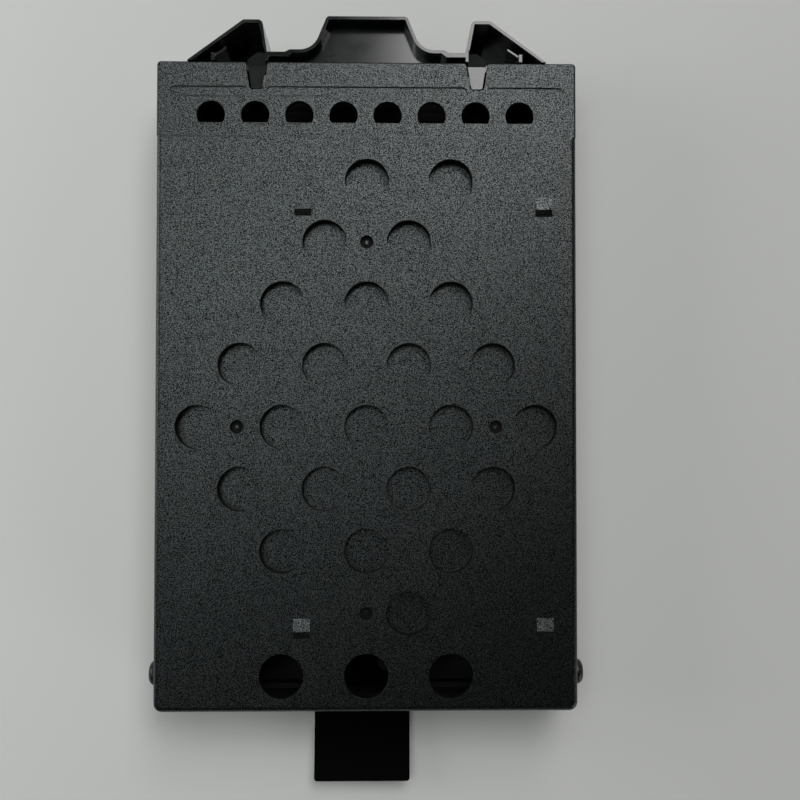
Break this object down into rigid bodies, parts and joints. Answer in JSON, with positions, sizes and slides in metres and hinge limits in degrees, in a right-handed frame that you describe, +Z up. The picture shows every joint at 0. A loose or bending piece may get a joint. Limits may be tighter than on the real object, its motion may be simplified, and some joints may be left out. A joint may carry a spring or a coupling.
{
  "type": "hard drive caddy",
  "caption": "Flat black plastic caddy that encloses a 2.5-inch drive, with a dimpled vented face, a connector window between guide ears and a film pull tab.",
  "frame": {"origin": "centre of the shells' plan, on the flat face the caddy rests on", "axes": "+X across the caddy, +Y towards the connector end, +Z up out of the textured face"},
  "size_m": [0.0794, 0.1404, 0.0152],
  "materials": {
    "textured_black": "fine spark-eroded grain",
    "smooth_black": "smooth, glossy as moulded",
    "black_film": "satin polyester film",
    "black_steel": "black oxide",
    "insert_brass": "turned"
  },
  "bodies": {
    "root": {"tray": "textured_black", "cover": "smooth_black", "pull_tab": "black_film", "side_screw_left": "black_steel", "side_screw_right": "black_steel", "insert_left": "insert_brass", "insert_right": "insert_brass"}
  },
  "joints": []
}
